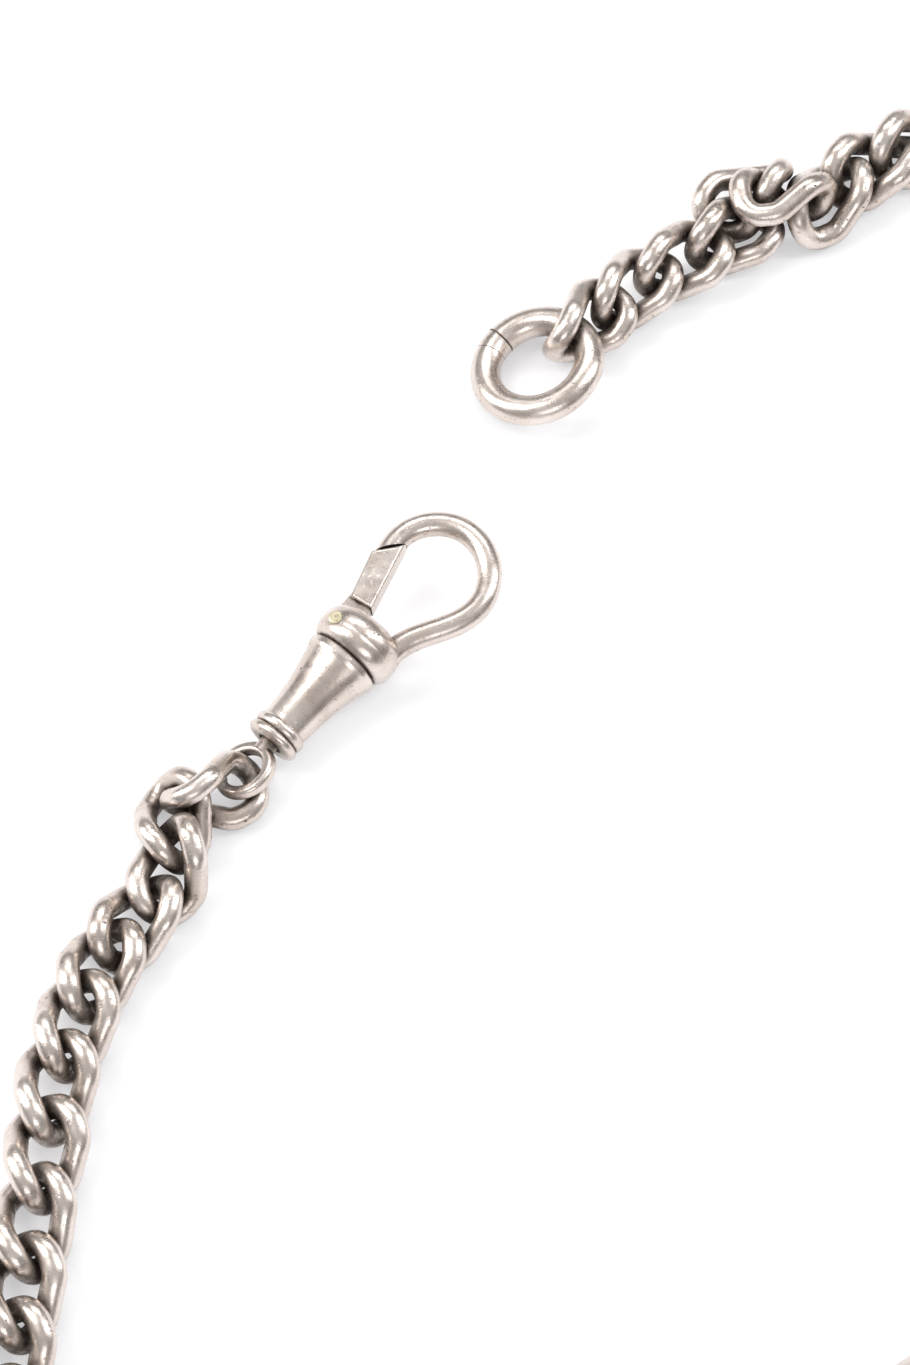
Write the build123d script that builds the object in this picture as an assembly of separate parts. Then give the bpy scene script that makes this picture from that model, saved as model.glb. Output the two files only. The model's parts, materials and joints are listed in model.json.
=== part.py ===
from build123d import *
import os
from math import atan2, copysign, cos, degrees, pi, radians, sin

# Graduated curb-link pocket-watch chain with a dog-clip swivel and a plain ring.
# Units are millimetres and degrees.  The chain lies on a table at z = 0.
# Every link has its own +x pointing along the chain from the swivel to the ring.

# ---- chain ----
LINK_COUNT = 52
END_WIRE = 2.28                 # wire thickness of the smallest links, at both ends
END_GROWTH = 0.009              # thickening per link over the first ten links
MIDDLE_GROWTH = 0.030           # thickening per link beyond them
END_STRETCH = 10                # number of links that thicken slowly

# ---- one link, measured in wire thicknesses ----
LINK_CORNERS = 12
HALF_LENGTH = 1.95
HALF_WIDTH = 1.30
CORNER_ROUND = 0.9
OVAL_POWER = 2.6                # 2 would be an ellipse, higher is squarer
TWIST = -55.0                   # turn of each end wire out of the link's plane
TWIST_POWER = 0.7
LINK_SLACK = 0.12               # play between two neighbouring links

# ---- where the links lie: x, y, z, yaw, tilt, roll ----
SWIVEL_SIDE_LINKS = [
    (-23.58, -13.69, 3.30, -159.1, 21.9, 118.8),
    (-27.68, -16.60, 3.12, -88.3, 6.7, -2.6),
    (-27.73, -22.00, 3.60, -106.5, -19.7, 11.7),
    (-31.06, -27.14, 2.83, -127.8, 0.9, -1.5),
    (-34.41, -32.16, 2.88, -115.9, 5.0, -8.1),
    (-36.62, -38.20, 3.33, -106.0, 0.0, -15.0),
    (-38.27, -44.60, 3.36, -100.0, 0.0, -15.0),
    (-38.98, -51.41, 3.39, -98.0, 0.0, -15.0),
    (-39.96, -58.13, 2.98, -95.5, 3.8, -7.3),
    (-40.77, -65.01, 3.05, -96.5, 5.4, -10.7),
    (-41.49, -71.64, 3.11, -95.5, 3.4, -9.5),
]
RING_SIDE_LINKS = [
    (48.65, 61.29, 3.02, -152.1, 5.9, -10.8),
    (43.58, 58.55, 3.11, -153.8, -0.3, -4.8),
    (38.73, 54.70, 2.92, -126.2, 3.3, -5.2),
    (33.95, 53.41, 5.23, -169.6, 16.9, -129.2),
    (30.17, 54.74, 3.47, -150.9, -19.2, 17.3),
    (28.75, 50.32, 3.00, -149.9, 17.4, -28.8),
    (23.44, 46.80, 3.61, -150.6, 1.3, -30.5),
    (18.34, 43.58, 3.46, -137.4, 3.9, -29.7),
    (13.51, 39.17, 3.84, -138.5, 3.2, -51.1),
]

# ---- round the far side of the loop: number of links, turn from each link to the next ----
FAR_SIDE_TURNS = [(6, 17.92), (4, 0.0), (6, 10.79), (10, 0.0), (7, 18.62)]

# ---- jump ring ----
RING_WIRE = 3.1
RING_RADIUS = 5.5               # to the middle of its wire
RING_PLACE = (8.38, 34.51, 3.14, 133.8, -15.1, -7.5)
RING_SEAM = 0.06                # butt joint of the ring's two ends
RING_SEAM_ANGLE = 20.0

# ---- swivel: its own x runs from the eye to the bow, y towards the gate ----
SWIVEL_PLACE = (-20.75, -11.05, 2.70, 49.5, 6.0, 0.0)
EYE_ROLL = -25.0
EYE_RADIUS = 2.65
EYE_BAND = 1.2
EYE_BAND_HEIGHT = 1.4
EYE_EDGE = 0.5
SHANK_RADIUS = 1.0
SHANK_BORE = 1.07
SHANK_END = 8.3
WASHER_RADIUS = 1.75
WASHER_START = 7.1
WASHER_END = 7.7

BARREL_CAVITY = 2.0
BARREL_CAVITY_START = 6.8
BARREL_START = 3.7
BARREL_END = 15.0

HEAD_START = 15.0
HEAD_END = 19.6
HEAD_RADIUS = 4.5
SPIGOT_START = 13.4
SPIGOT_RADIUS = 1.99
SLOT_HALF_HEIGHT = 0.75
SLOT_START = 15.0

BOW_WIRE = 2.5
BOW_LEG_START = (18.0, -3.2)
BOW_CENTRES = [
    (21.8, -4.3), (24.6, -5.95), (27.5, -6.75), (30.6, -5.75), (32.75, -3.1),
    (33.05, 0.1), (31.6, 2.75), (29.3, 4.1), (26.8, 4.15), (24.2, 3.4),
]

PIVOT = (16.95, 2.30)
PIVOT_RADIUS = 0.75
PIVOT_BORE = 0.81
PIN_LENGTH = 8.2
GATE_LUG_RADIUS = 1.6
GATE_HALF_LUG = 0.65
GATE_HALF_BAR = 1.1
GATE_BAR = [(20.6, 1.10), (20.3, 3.75), (25.45, 5.28), (28.1, 3.06)]
GATE_ROOM = [(28.86, 2.42), (24.68, 5.92), (20.6, 5.92), (20.6, 0.2)]
GATE_NECK = [(17.6, 0.80), (17.2, 3.85), (21.2, 3.95), (21.5, 1.35)]
GATE_TIP_GAP = 0.12
SPRING_WIRE = 0.24
SPRING_RADIUS = 1.12
SPRING_WELL = 1.36
SPRING_WELL_DEPTH = 0.8


def place(x, y, z, yaw, tilt, roll):
    """A position on the table: turn about z, raise the +x end, roll about x."""
    return Pos(x, y, z) * Rot(0, 0, yaw) * Rot(0, -tilt, 0) * Rot(roll, 0, 0)


# ---------------------------------------------------------------- links

def wire_of(number):
    """Wire thickness of a link, growing towards the middle of the chain."""
    steps = min(number - 1, LINK_COUNT - number)
    slow = min(steps, END_STRETCH)
    return END_WIRE * (1 + END_GROWTH * slow + MIDDLE_GROWTH * (steps - slow))


def link_corners():
    """Corner points of the twisted oval, for a wire one unit thick."""
    flat = []
    for index in range(LINK_CORNERS):
        angle = 2 * pi * (index + 0.5) / LINK_CORNERS
        c, s = cos(angle), sin(angle)
        grow = 1 / cos(pi / LINK_CORNERS)
        x = HALF_LENGTH * grow * copysign(abs(c) ** (2 / OVAL_POWER), c)
        y = HALF_WIDTH * grow * copysign(abs(s) ** (2 / OVAL_POWER), s)
        flat.append((x, y))
    reach = max(x for x, y in flat)
    corners = []
    for x, y in flat:
        turn = radians(TWIST) * copysign((abs(x) / reach) ** TWIST_POWER, x)
        corners.append((x, y * cos(turn), y * sin(turn)))
    return corners


def closed_tube(corners, corner_round, wire_radius):
    """Round wire bent along a closed path."""
    path = FilletPolyline(*corners, radius=corner_round, close=True).wire()
    section = Plane(origin=path @ 0, z_dir=path % 0) * Circle(wire_radius)
    swept = sweep(sections=section, path=path)
    skin = [face for face in swept.faces() if face.geom_type != GeomType.PLANE]
    return Solid(Shell(skin))


def far_side_places():
    """Lay the links round the far side, each one hooked in the link before it."""
    reach = max(x for x, y, z in link_corners())
    turns = [turn for count, turn in FAR_SIDE_TURNS for step in range(count)]
    x, y = SWIVEL_SIDE_LINKS[-1][:2]
    heading = radians(SWIVEL_SIDE_LINKS[-1][3])
    places = []
    for index, turn in enumerate(turns[:-1]):
        number = len(SWIVEL_SIDE_LINKS) + index
        before, after = wire_of(number), wire_of(number + 1)
        lap = (1 + LINK_SLACK) * (before + after) / 2
        middle = heading + radians(turn) / 2
        ahead = heading + radians(turn)
        x += reach * before * cos(heading) - lap * cos(middle) + reach * after * cos(ahead)
        y += reach * before * sin(heading) - lap * sin(middle) + reach * after * sin(ahead)
        heading = ahead
        places.append((x, y, None, degrees(heading), 0.0, 0.0))
    return places


def make_links():
    """All links in order from the swivel to the ring."""
    unit_link = closed_tube(link_corners(), CORNER_ROUND, 0.5)
    spots = SWIVEL_SIDE_LINKS + far_side_places() + RING_SIDE_LINKS
    links = []
    for number, (x, y, z, yaw, tilt, roll) in enumerate(spots, start=1):
        link = scale(unit_link, wire_of(number))
        if z is None:
            z = -(place(0, 0, 0, 0, tilt, roll) * link).bounding_box().min.Z
        links.append(place(x, y, z, yaw, tilt, roll) * link)
    return links


# ---------------------------------------------------------------- jump ring

def make_jump_ring():
    """Round wire ring whose two ends butt together at a fine seam."""
    ring = Torus(RING_RADIUS, RING_WIRE / 2)
    seam = Rot(0, 0, RING_SEAM_ANGLE) * Pos(RING_RADIUS, 0, 0) * Box(2 * RING_WIRE, RING_SEAM, 2 * RING_WIRE)
    return place(*RING_PLACE) * (ring - seam).solid()


# ---------------------------------------------------------------- swivel

def turned(profile):
    """A shape turned about the swivel's x axis from (x, radius) points."""
    face = make_face(Polyline(*profile, close=True))
    return revolve(face, axis=Axis.X)


def make_swivel_eye():
    """Band loop for the first link, with the shank that turns in the barrel."""
    band = Cylinder(EYE_RADIUS + EYE_BAND / 2, EYE_BAND_HEIGHT)
    band -= Cylinder(EYE_RADIUS - EYE_BAND / 2, 2 * EYE_BAND_HEIGHT)
    band = fillet(band.edges(), EYE_EDGE)
    shank = turned([
        (EYE_RADIUS - 0.2, 0), (EYE_RADIUS - 0.2, SHANK_RADIUS),
        (SHANK_END - 0.4, SHANK_RADIUS), (SHANK_END, SHANK_RADIUS - 0.3), (SHANK_END, 0),
    ])
    return band + shank


def make_shank_washer():
    """Washer riveted on the shank inside the barrel; it keeps the eye from pulling out."""
    return turned([
        (WASHER_START, SHANK_RADIUS), (WASHER_START, WASHER_RADIUS),
        (WASHER_END, WASHER_RADIUS), (WASHER_END, SHANK_RADIUS),
    ])


def make_barrel():
    """Trumpet barrel with two neck beads; bored for the shank and hollow behind."""
    with BuildSketch() as half:
        with BuildLine():
            Polyline((BARREL_START + 0.3, SHANK_BORE), (BARREL_START, SHANK_BORE + 0.3), (BARREL_START, 2.45))
            ThreePointArc((BARREL_START, 2.45), (4.2, 2.85), (4.7, 2.45))
            ThreePointArc((4.7, 2.45), (5.3, 2.8), (5.9, 2.45))
            Line((5.9, 2.45), (6.4, 2.5))
            ThreePointArc((6.4, 2.5), (10.6, 2.95), (13.9, 3.75))
            Polyline((13.9, 3.75), (14.3, 3.95), (14.8, 3.95), (BARREL_END, 3.75))
            Line((BARREL_END, 3.75), (BARREL_END, BARREL_CAVITY))
            Line((BARREL_END, BARREL_CAVITY), (BARREL_CAVITY_START, BARREL_CAVITY))
            Line((BARREL_CAVITY_START, BARREL_CAVITY), (BARREL_CAVITY_START, SHANK_BORE))
            Line((BARREL_CAVITY_START, SHANK_BORE), (BARREL_START + 0.3, SHANK_BORE))
        make_face()
    return revolve(half.sketch, axis=Axis.X)


def make_hook():
    """Forked head, spigot and the bow, up to the seat of the gate's tip."""
    with BuildSketch() as half:
        with BuildLine():
            Polyline((SPIGOT_START, 0), (SPIGOT_START, SPIGOT_RADIUS), (HEAD_START, SPIGOT_RADIUS), (HEAD_START, 3.3))
            ThreePointArc((HEAD_START, 3.3), (15.65, 4.2), (17.1, HEAD_RADIUS))
            ThreePointArc((17.1, HEAD_RADIUS), (18.95, 3.85), (HEAD_END, 2.2))
            Polyline((HEAD_END, 2.2), (HEAD_END, 0), (SPIGOT_START, 0))
        make_face()
    head = revolve(half.sketch, axis=Axis.X)
    path = Spline(BOW_LEG_START, *BOW_CENTRES)
    bow = sweep(sections=Plane(origin=path @ 0, z_dir=path % 0) * Circle(BOW_WIRE / 2), path=path)
    slot_depth = 2 * HEAD_RADIUS
    slot = Pos(SLOT_START, -0.4, 0) * Box(
        slot_depth, slot_depth, 2 * SLOT_HALF_HEIGHT, align=(Align.MIN, Align.MIN, Align.CENTER))
    outline = offset(make_face(Polyline(*GATE_ROOM, close=True)), GATE_TIP_GAP)
    gate_room = extrude(outline, 4, both=True)
    pin_hole = Pos(*PIVOT, 0) * Cylinder(PIVOT_RADIUS, 4 * HEAD_RADIUS)
    return (head - slot) + bow - gate_room - pin_hole


def make_gate():
    """Flat-sided tapering gate with a thin lug and a well for its coil spring."""
    bar = extrude(make_face(Polyline(*GATE_BAR, close=True)), GATE_HALF_BAR, both=True)
    bar = fillet(bar.edges().filter_by(Axis.Z, reverse=True), 0.35)
    neck = extrude(make_face(Polyline(*GATE_NECK, close=True)), GATE_HALF_LUG, both=True)
    lug = Pos(*PIVOT, 0) * Cylinder(GATE_LUG_RADIUS, 2 * GATE_HALF_LUG)
    bore = Pos(*PIVOT, 0) * Cylinder(PIVOT_BORE, 4 * GATE_HALF_LUG)
    well = Pos(*PIVOT, GATE_HALF_LUG - SPRING_WELL_DEPTH) * Cylinder(
        SPRING_WELL, 2 * SPRING_WELL_DEPTH, align=(Align.CENTER, Align.CENTER, Align.MIN))
    return bar + neck + lug - bore - well


def make_gate_pin():
    """Rivet through the fork and the gate's lug, with domed ends."""
    pin = Pos(*PIVOT, 0) * Cylinder(PIVOT_RADIUS, PIN_LENGTH)
    return fillet(pin.edges(), 0.2)


def make_gate_spring():
    """Two turns of spring wire round the pin, in the lug's well."""
    pitch = SPRING_WIRE + 0.05
    path = Helix(pitch, 1.6 * pitch, SPRING_RADIUS)
    coil = sweep(
        sections=Plane(origin=path @ 0, z_dir=path % 0) * Circle(SPRING_WIRE / 2), path=path, is_frenet=True)
    floor = GATE_HALF_LUG - SPRING_WELL_DEPTH + SPRING_WIRE / 2 + 0.05
    return Pos(*PIVOT, floor) * coil


# ---------------------------------------------------------------- whole chain

def main():
    swivel = place(*SWIVEL_PLACE)
    eye_roll = Rot(EYE_ROLL, 0, 0)
    solids = {
        "hook": swivel * make_hook(),
        "gate": swivel * make_gate(),
        "gate_pin": swivel * make_gate_pin(),
        "gate_spring": swivel * make_gate_spring(),
        "barrel": swivel * make_barrel(),
        "swivel_eye": swivel * eye_roll * make_swivel_eye(),
        "shank_washer": swivel * make_shank_washer(),
        "jump_ring": make_jump_ring(),
    }
    for number, link in enumerate(make_links(), start=1):
        solids[f"link_{number:02d}"] = link

    box = Compound(list(solids.values())).bounding_box()
    centred = Pos(-(box.min.X + box.max.X) / 2, -(box.min.Y + box.max.Y) / 2, -box.min.Z)
    os.makedirs("parts", exist_ok=True)
    for name, solid in solids.items():
        export_step(centred * solid, f"parts/{name}.step")
    print("moved by", centred.position)


main()
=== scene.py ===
import json
import math
import bpy
from mathutils import Euler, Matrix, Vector


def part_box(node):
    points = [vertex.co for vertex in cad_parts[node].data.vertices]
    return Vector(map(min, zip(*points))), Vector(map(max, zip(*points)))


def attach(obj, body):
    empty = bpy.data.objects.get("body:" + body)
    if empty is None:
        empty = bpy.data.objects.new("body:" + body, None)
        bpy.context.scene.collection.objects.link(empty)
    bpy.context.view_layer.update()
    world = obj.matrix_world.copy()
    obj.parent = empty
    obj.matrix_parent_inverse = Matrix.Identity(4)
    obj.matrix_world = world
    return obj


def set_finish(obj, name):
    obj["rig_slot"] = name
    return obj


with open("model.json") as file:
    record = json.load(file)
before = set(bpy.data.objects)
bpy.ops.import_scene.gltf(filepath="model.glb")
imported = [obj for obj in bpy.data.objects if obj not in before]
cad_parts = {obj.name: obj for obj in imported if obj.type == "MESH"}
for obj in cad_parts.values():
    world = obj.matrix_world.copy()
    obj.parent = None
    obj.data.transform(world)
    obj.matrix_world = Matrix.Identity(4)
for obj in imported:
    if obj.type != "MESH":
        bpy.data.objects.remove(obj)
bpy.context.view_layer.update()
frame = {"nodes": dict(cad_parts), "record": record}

# ---------------------------------------------------------------- helpers


def middle(node):
    """Middle of a CAD node's box, in metres."""
    low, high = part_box(node)
    return (low + high) / 2


class Nodes:
    """Small helper that adds shader nodes and joins them up."""

    def __init__(self, name):
        self.material = bpy.data.materials.new(name)
        self.material.use_nodes = True
        self.tree = self.material.node_tree
        self.tree.nodes.clear()
        self.out = self.add("ShaderNodeOutputMaterial")
        self.bsdf = self.add("ShaderNodeBsdfPrincipled")
        self.join(self.bsdf.outputs["BSDF"], self.out.inputs["Surface"])
        self.place = self.add("ShaderNodeTexCoord").outputs["Object"]

    def add(self, kind, **values):
        node = self.tree.nodes.new(kind)
        for key, value in values.items():
            setattr(node, key, value)
        return node

    def join(self, source, target):
        self.tree.links.new(source, target)

    def principled(self, name, value):
        """Set a plain value on the surface shader."""
        self.bsdf.inputs[name].default_value = value

    def noise(self, scale, detail=4.0, roughness=0.55, stretch=None):
        node = self.add("ShaderNodeTexNoise")
        node.inputs["Scale"].default_value = scale
        node.inputs["Detail"].default_value = detail
        node.inputs["Roughness"].default_value = roughness
        place = self.place
        if stretch:
            mapping = self.add("ShaderNodeMapping")
            mapping.inputs["Scale"].default_value = stretch
            mapping.inputs["Rotation"].default_value = (0.0, 0.0, 0.6)
            self.join(place, mapping.inputs["Vector"])
            place = mapping.outputs["Vector"]
        self.join(place, node.inputs["Vector"])
        return node.outputs["Fac"]

    def ramp(self, source, low, high, start=0.0, end=1.0):
        """Map source from low..high to start..end, clamped."""
        node = self.add("ShaderNodeMapRange")
        node.inputs["From Min"].default_value = low
        node.inputs["From Max"].default_value = high
        node.inputs["To Min"].default_value = start
        node.inputs["To Max"].default_value = end
        self.join(source, node.inputs["Value"])
        return node.outputs["Result"]

    def calc(self, operation, first, second):
        node = self.add("ShaderNodeMath", operation=operation)
        for socket, value in zip(node.inputs, (first, second)):
            if isinstance(value, (int, float)):
                socket.default_value = value
            else:
                self.join(value, socket)
        return node.outputs["Value"]

    def mix(self, factor, first, second):
        node = self.add("ShaderNodeMix", data_type="RGBA")
        sockets = (node.inputs["Factor"], node.inputs[6], node.inputs[7])
        for socket, value in zip(sockets, (factor, first, second)):
            if isinstance(value, tuple):
                socket.default_value = (*value, 1.0)
            elif isinstance(value, float):
                socket.default_value = value
            else:
                self.join(value, socket)
        return node.outputs[2]

    def bump(self, height, distance, strength=1.0, before=None):
        node = self.add("ShaderNodeBump")
        node.inputs["Strength"].default_value = strength
        node.inputs["Distance"].default_value = distance
        self.join(height, node.inputs["Height"])
        if before is not None:
            self.join(before, node.inputs["Normal"])
        return node.outputs["Normal"]


def worn_metal(name, bright, warm, tarnish, shine=0.2, dirt=1.0):
    """Old polished metal: soft colour clouds, tarnish in the hollows, pits and fine scratches."""
    n = Nodes(name)
    clouds = n.noise(220.0, 5.0)
    blotches = n.noise(900.0, 6.0, 0.65)
    grain = n.noise(5200.0, 3.0, 0.6)
    scratches = n.noise(1400.0, 6.0, 0.7, (1.0, 14.0, 1.0))
    pits = n.ramp(n.noise(2600.0, 2.0, 0.5), 0.30, 0.36, 1.0, 0.0)

    shade = n.add("ShaderNodeAmbientOcclusion", samples=8)
    shade.inputs["Distance"].default_value = 0.0022
    hollow = n.ramp(shade.outputs["AO"], 0.35, 0.88, 1.0, 0.0)
    patchy = n.ramp(blotches, 0.35, 0.65, 0.45, 1.25)
    grime = n.calc("MULTIPLY", n.calc("MULTIPLY", hollow, patchy), dirt)
    spots = n.calc("MULTIPLY", pits, n.ramp(clouds, 0.40, 0.62, 0.0, 0.8))
    grime = n.calc("MINIMUM", n.calc("MAXIMUM", grime, spots), 1.0)

    edge = n.ramp(n.add("ShaderNodeNewGeometry").outputs["Pointiness"], 0.51, 0.56, 0.0, 1.0)
    body = n.mix(n.ramp(clouds, 0.36, 0.64), bright, warm)
    body = n.mix(n.calc("MULTIPLY", edge, 0.5), body, bright)
    n.join(n.mix(grime, body, tarnish), n.bsdf.inputs["Base Color"])

    rough = n.ramp(blotches, 0.3, 0.7, shine - 0.06, shine + 0.10)
    rough = n.calc("ADD", rough, n.calc("MULTIPLY", grime, 0.32))
    n.join(rough, n.bsdf.inputs["Roughness"])
    n.join(n.ramp(grime, 0.0, 1.0, 1.0, 0.72), n.bsdf.inputs["Metallic"])

    normal = n.bump(clouds, 0.00022, 0.16)
    normal = n.bump(blotches, 0.00005, 0.20, normal)
    normal = n.bump(scratches, 0.00002, 0.35, normal)
    normal = n.bump(grain, 0.000015, 0.30, normal)
    normal = n.bump(n.calc("SUBTRACT", 1.0, pits), 0.00003, 0.35, normal)
    n.join(normal, n.bsdf.inputs["Normal"])
    return n.material


SILVER = worn_metal("silver", (0.76, 0.69, 0.64), (0.62, 0.54, 0.485), (0.070, 0.048, 0.036), 0.27, 1.3)
BRASS = worn_metal("rivet_brass", (0.78, 0.72, 0.55), (0.62, 0.55, 0.38), (0.12, 0.09, 0.05), 0.34)
STEEL = worn_metal("spring_steel", (0.42, 0.42, 0.43), (0.34, 0.33, 0.33), (0.06, 0.05, 0.045), 0.35)

MATERIAL_OF_SLOT = {"silver": SILVER, "rivet_brass": BRASS, "spring_steel": STEEL}
for part in frame["record"]["subparts"]:
    thing = frame["nodes"][part["node"]]
    thing.data.materials.clear()
    thing.data.materials.append(MATERIAL_OF_SLOT[part["material_slot"]])
    thing["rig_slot"] = part["material_slot"]

# ---------------------------------------------------------------- the ring's seam

SEAM_TOWARDS = Vector((-0.72, 0.69, 0.0))   # the line's side, seen from the ring's middle
SEAM_LINE = 0.00007                         # half the width of the dark line
SEAM_SINK = 0.45                            # share of that half that lies inside the wire


def ring_seam():
    """Fine dark line round the wire for the seam, a little round the ring from the CAD's thin gap."""
    ring = frame["nodes"]["jump_ring"]
    centre = middle("jump_ring")
    points = [ring.matrix_world @ v.co for v in ring.data.vertices]
    normal = Vector((0.0, 0.0, 0.0))
    for first, second in zip(points[::7], points[3::7]):
        turn = (first - centre).cross(second - centre)
        normal += turn if turn.z > 0 else -turn
    normal.normalize()
    out = (SEAM_TOWARDS - SEAM_TOWARDS.dot(normal) * normal).normalized()
    near = [p for p in points if (p - centre).normalized().dot(out) > 0.98]
    reach = [(p - centre).dot(out) for p in near]
    wire = (max(reach) - min(reach)) / 2
    spot = centre + out * (max(reach) + min(reach)) / 2
    bpy.ops.mesh.primitive_torus_add(
        major_segments=72, minor_segments=10,
        major_radius=wire - SEAM_LINE * SEAM_SINK, minor_radius=SEAM_LINE)
    line = bpy.context.object
    line.name = "ring_seam"
    line.location = spot
    line.rotation_euler = normal.cross(out).to_track_quat("Z", "Y").to_euler()
    line.data.materials.append(TARNISH)
    for face in line.data.polygons:
        face.use_smooth = True
    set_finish(line, "silver")
    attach(line, "jump_ring")


TARNISH = worn_metal("tarnish", (0.16, 0.12, 0.095), (0.10, 0.075, 0.06), (0.04, 0.03, 0.025), 0.5)
ring_seam()

# ---------------------------------------------------------------- floor and light


def plain(name, colour, roughness, glow):
    """Matt paper that glows a little, as a sheet lit from below does."""
    n = Nodes(name)
    cloth = n.noise(3.0, 2.0)
    n.principled("Emission Color", (0.985, 0.985, 1.0, 1.0))
    n.principled("Emission Strength", glow)
    n.principled("Roughness", roughness)
    darker = tuple(c * 0.985 for c in colour)
    n.join(n.mix(n.ramp(cloth, 0.3, 0.7), colour, darker), n.bsdf.inputs["Base Color"])
    return n.material


FLOOR_SIZE = 6.0
FLOOR_GREY = (0.60, 0.60, 0.61)
bpy.ops.mesh.primitive_plane_add(size=FLOOR_SIZE, location=(0, 0, 0))
floor = bpy.context.object
floor.name = "floor"
floor.data.materials.append(plain("paper", FLOOR_GREY, roughness=0.9, glow=0.46))


def softbox(name, position, target, width, height, power, colour=(1.0, 1.0, 1.0)):
    data = bpy.data.lights.new(name, "AREA")
    data.shape = "RECTANGLE"
    data.size, data.size_y = width, height
    data.energy = power
    data.color = colour
    lamp = bpy.data.objects.new(name, data)
    lamp.location = position
    lamp.rotation_euler = (Vector(target) - Vector(position)).to_track_quat("-Z", "Y").to_euler()
    bpy.context.collection.objects.link(lamp)


centre = Vector((-0.02, 0.017, 0.0))
softbox("left_strip", (-0.62, 0.10, 0.50), centre, 0.20, 0.80, 4.6, (1.0, 0.99, 0.97))
softbox("right_strip", (0.60, 0.15, 0.55), centre, 0.22, 0.80, 2.8, (0.97, 0.98, 1.0))
softbox("top_back", (0.0, 0.62, 0.70), centre, 0.75, 0.22, 2.2)
softbox("front_fill", (0.05, -0.75, 0.45), centre, 0.50, 0.25, 1.2)


def studio_walls(low, high, colour):
    """Surroundings that brighten from the horizon up to straight overhead."""
    world = bpy.data.worlds.new("studio")
    bpy.context.scene.world = world
    world.use_nodes = True
    tree = world.node_tree
    tree.nodes.clear()
    place = tree.nodes.new("ShaderNodeTexCoord")
    split = tree.nodes.new("ShaderNodeSeparateXYZ")
    fade = tree.nodes.new("ShaderNodeMapRange")
    fade.inputs["From Min"].default_value = 0.0
    fade.inputs["From Max"].default_value = 1.0
    fade.inputs["To Min"].default_value = low
    fade.inputs["To Max"].default_value = high
    sky = tree.nodes.new("ShaderNodeBackground")
    sky.inputs["Color"].default_value = (*colour, 1.0)
    end = tree.nodes.new("ShaderNodeOutputWorld")
    tree.links.new(place.outputs["Generated"], split.inputs["Vector"])
    tree.links.new(split.outputs["Z"], fade.inputs["Value"])
    tree.links.new(fade.outputs["Result"], sky.inputs["Strength"])
    tree.links.new(sky.outputs["Background"], end.inputs["Surface"])


studio_walls(0.20, 0.66, (1.0, 0.985, 0.975))

# ---------------------------------------------------------------- camera

RING_FROM_AIM = Vector((0.00843, 0.03452, 0.0))     # the jump ring's place in the view
CAMERA_BACK = 0.2192
CAMERA_HEIGHT = 0.4494
CAMERA_TILT = math.radians(26.0)
aim = middle("jump_ring") - RING_FROM_AIM
eye = bpy.data.cameras.new("camera")
eye.sensor_width = 36.0
eye.lens = 131.87
camera = bpy.data.objects.new("camera", eye)
camera.location = (aim.x, aim.y - CAMERA_BACK, CAMERA_HEIGHT)
camera.rotation_euler = Euler((CAMERA_TILT, 0, 0))
bpy.context.collection.objects.link(camera)
bpy.context.scene.camera = camera
bpy.context.scene.view_settings.view_transform = "Standard"
